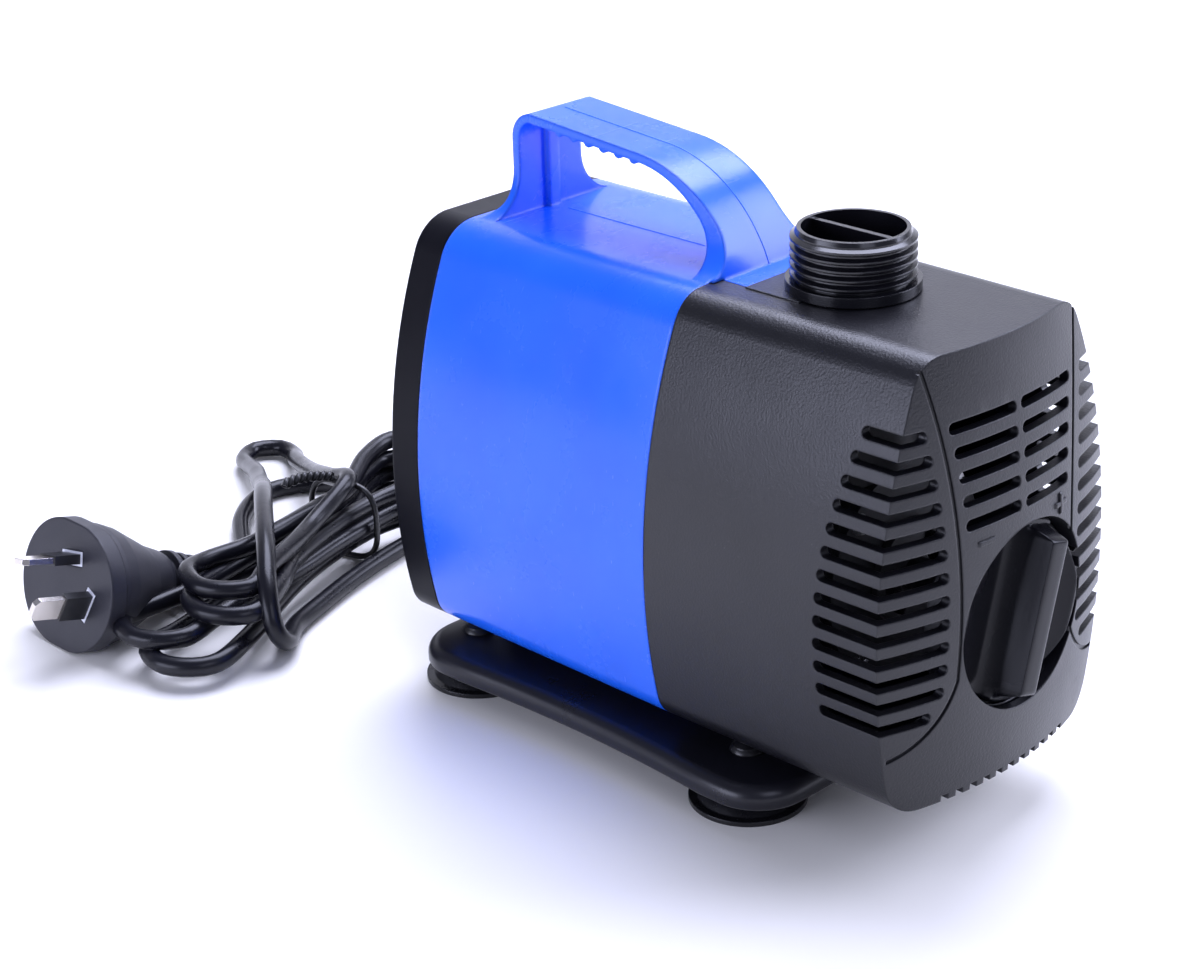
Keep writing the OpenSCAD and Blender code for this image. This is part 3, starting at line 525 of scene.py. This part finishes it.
def base_layers():
    """(inset, height) steps up the side of the frame: a small chamfer below, a big round above."""
    round_r, round_steps = 3.4, 8
    steps = [(0.9, PLATE_Z0), (0.3, PLATE_Z0 + 0.3), (0, PLATE_Z0 + 0.9)]
    for k in range(round_steps + 1):
        a = math.radians(90 * k / round_steps)
        steps.append((round_r * (1 - math.cos(a)), PLATE_Z1 - round_r + round_r * math.sin(a)))
    return steps


def make_base():
    """The rounded plate and the two rails that the housing stands on."""
    outline = base_outline()
    n = len(outline)
    normals = []
    for i in range(n):
        ax, ay = outline[i - 1]
        bx, by = outline[(i + 1) % n]
        length = math.hypot(bx - ax, by - ay)
        normals.append(((by - ay) / length, -(bx - ax) / length))
    verts, faces = [], []
    layers = base_layers()
    for inset, z in layers:
        verts += [(x - inset * u, y - inset * v, z) for (x, y), (u, v) in zip(outline, normals)]
    for k in range(len(layers) - 1):
        low, high = k * n, (k + 1) * n
        faces += [(low + i, low + (i + 1) % n, high + (i + 1) % n, high + i) for i in range(n)]
    faces.append(tuple(range(n - 1, -1, -1)))
    faces.append(tuple((len(layers) - 1) * n + i for i in range(n)))
    plate = mesh_piece("base_plate", verts, faces, FINISHES["base_black"])
    rail_faces = [(0, 1, 3, 2), (4, 6, 7, 5), (0, 4, 5, 1), (2, 3, 7, 6), (0, 2, 6, 4), (1, 5, 7, 3)]
    half_w, sunk, edge_r = 4, 0.4, 0.7
    ends = (BASE_Y0 + 6, BASE_Y0 + BASE_L - 12)
    for side in (-1, 1):
        verts = [(side * RAIL_X + a, b, c) for a in (-half_w, half_w) for b in ends
                 for c in (PLATE_Z1 - sunk, RAIL_TOP)]
        rail = mesh_piece("base_rail_%s" % ("left" if side < 0 else "right"), verts, rail_faces,
                          FINISHES["satin_black"], smooth=False)
        bevel = rail.modifiers.new("edges", "BEVEL")
        bevel.width = edge_r * MM
        bevel.segments = 3
    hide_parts("base_frame")


make_base()


# ---------- knob ----------
KNOB_AXIS = Vector((0.003, 0, 0.0555)) / MM
BAR_LEAN = 17
EDGE_ROUND, EDGE_DROP = 0.8, 0.7


def knob_height(across, along):
    """Distance in front of the origin of the knob's face: a narrow bar with a hollow along each side."""
    rim, bar_top, deep = 78.3, 84.7, 74.9
    half_w, hollow = 3.0, 9.2
    half_l, end_slope, end_step = 17.6, 2.6, 0.4
    crowned, rise_w = 0.25, 11.0
    c = abs(across)
    if c <= half_w:
        crown = bar_top - crowned * (c / half_w) ** 6
    elif c <= hollow:
        t = (hollow - c) / (hollow - half_w)
        crown = deep + (bar_top - crowned - deep) * (0.25 * t ** 2 + 0.75 * t ** 5)
    else:
        crown = deep + (rim - deep) * min((c - hollow) / rise_w, 1) ** 1.6
    end = min(max((abs(along) - half_l) / end_slope, 0), 1)
    floor = min(crown, rim - end_step)
    return crown + (floor - crown) * end * end * (3 - 2 * end)


def make_knob():
    """The dial and its grip bar as one mesh laid out across and along the bar."""
    lean = Matrix.Rotation(math.radians(BAR_LEAN), 3, "Y")
    radius, back = 21.7, 72.2
    rows, steps = 60, 64
    spaced = [radius * 0.9995 * math.sin(math.pi / 2 * (-1 + 2 * k / rows)) for k in range(rows + 1)]
    near_bar_edge = [s * c for s in (-1, 1) for c in (2.6, 2.85, 3.0, 3.1, 3.3, 3.6, 4.0)]
    acrosses = sorted(set(round(a, 4) for a in spaced + near_bar_edge))
    verts, faces = [], []
    for a in acrosses:
        half = math.sqrt(max(radius ** 2 - a * a, 0.01))
        for k in range(steps + 1):
            along = half * math.sin(math.pi / 2 * (-1 + 2 * k / steps))
            edge = radius - math.hypot(a, along)
            drop = EDGE_DROP * (1 - min(edge / EDGE_ROUND, 1)) ** 2
            verts.append(lean @ Vector((a, -(knob_height(a, along) - drop), along)) + KNOB_AXIS)
    n = steps + 1
    for i in range(len(acrosses) - 1):
        faces += [(i * n + k, i * n + k + 1, (i + 1) * n + k + 1, (i + 1) * n + k) for k in range(steps)]
    last = (len(acrosses) - 1) * n
    rim = list(range(n)) + [i * n + steps for i in range(1, len(acrosses))]
    rim += [last + k for k in range(steps - 1, -1, -1)] + [i * n for i in range(len(acrosses) - 2, 0, -1)]
    start = len(verts)
    verts += [Vector((verts[i][0], -back, verts[i][2])) for i in rim]
    m = len(rim)
    faces += [(rim[i], rim[(i + 1) % m], start + (i + 1) % m, start + i) for i in range(m)]
    faces.append(tuple(range(start, start + m)))
    dial = mesh_piece("flow_dial", verts, faces, FINISHES["knob_black"], "flow_control")
    smooth_by_angle(dial, 50)
    turn = Matrix.Rotation(math.radians(90), 3, "X")
    stem_r, inner_end, outer_end = 4, 46, 73
    outline = [(0.01, inner_end), (stem_r, inner_end), (stem_r, outer_end), (0.01, outer_end)]
    stem = lathe("knob_stem", outline, KNOB_AXIS, turn, FINISHES["satin_black"], "flow_control", 48)
    smooth_by_angle(stem, 40)
    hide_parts("flow_knob")


make_knob()


# ---------- marks and mould lines ----------
FRONT_R, RISE_R, FRONT_Y, BELLY_Z = 107.3, 372, 81, 57


def on_front(x, z, proud):
    """A point on the barrel-shaped front face, moved out of it by proud."""
    rise = RISE_R - math.sqrt(RISE_R ** 2 - (z - BELLY_Z) ** 2)
    radius = FRONT_R - rise + proud
    return Vector((x, (FRONT_R - FRONT_Y) - math.sqrt(radius ** 2 - x * x), z))


def raised_bar(name, x0, x1, z0, z1, height=0.45):
    """A small raised bar that follows the front face, with sloping flanks."""
    steps, sunk = 8, -0.25
    rows = ((0, sunk), (0.12, height), (0.88, height), (1, sunk))
    verts, faces = [], []
    for k in range(steps + 1):
        for j, (t, proud) in enumerate(rows):
            end = k in (0, steps)
            verts.append(on_front(x0 + (x1 - x0) * k / steps, z0 + (z1 - z0) * t, sunk if end else proud))
    n = len(rows)
    for k in range(steps):
        this, following = k * n, (k + 1) * n
        faces += [(this + j, this + j + 1, following + j + 1, following + j) for j in range(n - 1)]
        faces.append((this, following, following + n - 1, this + n - 1))
    faces += [tuple(range(n)), tuple(range(steps * n + n - 1, steps * n - 1, -1))]
    bar = mesh_piece(name, verts, faces, FINISHES["satin_black"], smooth=False)


def make_marks():
    """Less and more, either side of the knob."""
    low, high = 77.6, 78.9
    raised_bar("mark_less", -15.6, -9.6, low, high)
    raised_bar("mark_more", 11.8, 17.6, low, high)
    raised_bar("mark_more_upright", 14.05, 15.35, 75.4, 81.1, height=0.5)


def handle_top(y):
    """Height of the handle's outer face over y: a sloping straight and the front curve."""
    a = math.radians(4.6)
    slope = math.tan(a)
    rear, bend, radius, top = 68, 25, 37, 148.7
    bend_z = top - (rear - bend) * slope
    if y >= bend:
        return top - (rear - y) * slope
    cy, cz = bend + radius * math.sin(a), bend_z - radius * math.cos(a)
    return cz + math.sqrt(max(radius ** 2 - (y - cy) ** 2, 0))


def make_mould_lines():
    """The fine line where the mould halves met, along the handle and the housing's top, in a lighter blue
    that is a painted highlight along its ridge.
    """
    line_r, proud = 0.16, 0.02
    start, top_face, top_gap, top_points = 60, 122.2, 2, 24
    places = [start - k for k in range(start + 1)] + [-1.5, -3, -4.2, -5.2, -6.0, -6.7]
    over_handle = [(0, y, handle_top(y) + proud) for y in places]
    over_top = [(0, start - k * top_gap, top_face + proud) for k in range(top_points)]
    for name, line in (("handle_mould_line", over_handle), ("top_mould_line", over_top)):
        piece = curve_piece(name, line, line_r, FINISHES["blue_line_painted_highlight"], sides=2)


make_marks()
make_mould_lines()


# ---------- floor and light ----------
FLOOR_COLOUR = (0.98, 0.96, 0.90, 1)
FLOOR_ROUGH, FLOOR_SHINE = 0.5, 0.3
WORLD_COLOUR, WORLD_STRENGTH = (0.74, 0.78, 1.0, 1), 0.26
LIGHT_TINT = (0.74, 0.77, 1.0)
# Each light's name, place, target, size and power.
LIGHTS = (
    ("left softbox", (-1.15, 0.30, 0.34), (0, 0.03, 0.07), (0.9, 0.5), 8),
    ("top softbox", (0.60, 0.38, 1.45), (0.0, 0.0, 0.05), (1.2, 1.2), 42),
    ("right softbox", (1.2, -0.8, 0.8), (0.45, -0.45, 0), (1.0, 1.0), 24),
    ("front fill", (-0.5, -1.3, 1.1), (-0.1, -0.45, 0), (0.8, 0.8), 4.5),
)


def make_floor():
    """A plain pale sheet that curves up far behind the object."""
    size, height = 3.0, 2.5
    rise_from, radius, steps = 1.1, 0.6, 12
    line = [(-size, 0.0), (rise_from, 0.0)]
    for k in range(1, steps + 1):
        a = math.pi / 2 * k / steps
        line.append((rise_from + radius * math.sin(a), radius - radius * math.cos(a)))
    line.append((rise_from + radius, height))
    turn = Matrix.Rotation(math.radians(VIEW_AZIMUTH), 4, "Z")
    verts = [turn @ Vector((x, y, z)) for y, z in line for x in (-size, size)]
    faces = [(2 * k, 2 * k + 1, 2 * k + 3, 2 * k + 2) for k in range(len(line) - 1)]
    mesh = bpy.data.meshes.new("floor")
    mesh.from_pydata(verts, [], faces)
    mesh.shade_smooth()
    floor = bpy.data.objects.new("floor", mesh)
    bpy.context.scene.collection.objects.link(floor)
    material = bpy.data.materials.new("floor")
    material.use_nodes = True
    shader = material.node_tree.nodes["Principled BSDF"]
    shader.inputs["Base Color"].default_value = FLOOR_COLOUR
    shader.inputs["Roughness"].default_value = FLOOR_ROUGH
    shader.inputs["Specular IOR Level"].default_value = FLOOR_SHINE
    mesh.materials.append(material)


def area_light(name, at, target, size, power):
    """A soft rectangular light turned towards its target."""
    data = bpy.data.lights.new(name, "AREA")
    data.shape = "RECTANGLE"
    data.size, data.size_y = size
    data.energy = power
    data.color = LIGHT_TINT
    lamp = bpy.data.objects.new(name, data)
    lamp.location = at
    lamp.rotation_euler = (Vector(target) - Vector(at)).to_track_quat("-Z", "Y").to_euler()
    bpy.context.scene.collection.objects.link(lamp)


def make_world():
    """An even, slightly blue glow from all round."""
    world = bpy.data.worlds.new("studio")
    world.use_nodes = True
    back = world.node_tree.nodes["Background"]
    back.inputs["Color"].default_value = WORLD_COLOUR
    back.inputs["Strength"].default_value = WORLD_STRENGTH
    bpy.context.scene.world = world


make_floor()
make_world()
for name, at, target, size, power in LIGHTS:
    area_light(name, at, target, size, power)
bpy.context.scene.view_settings.view_transform = "Standard"
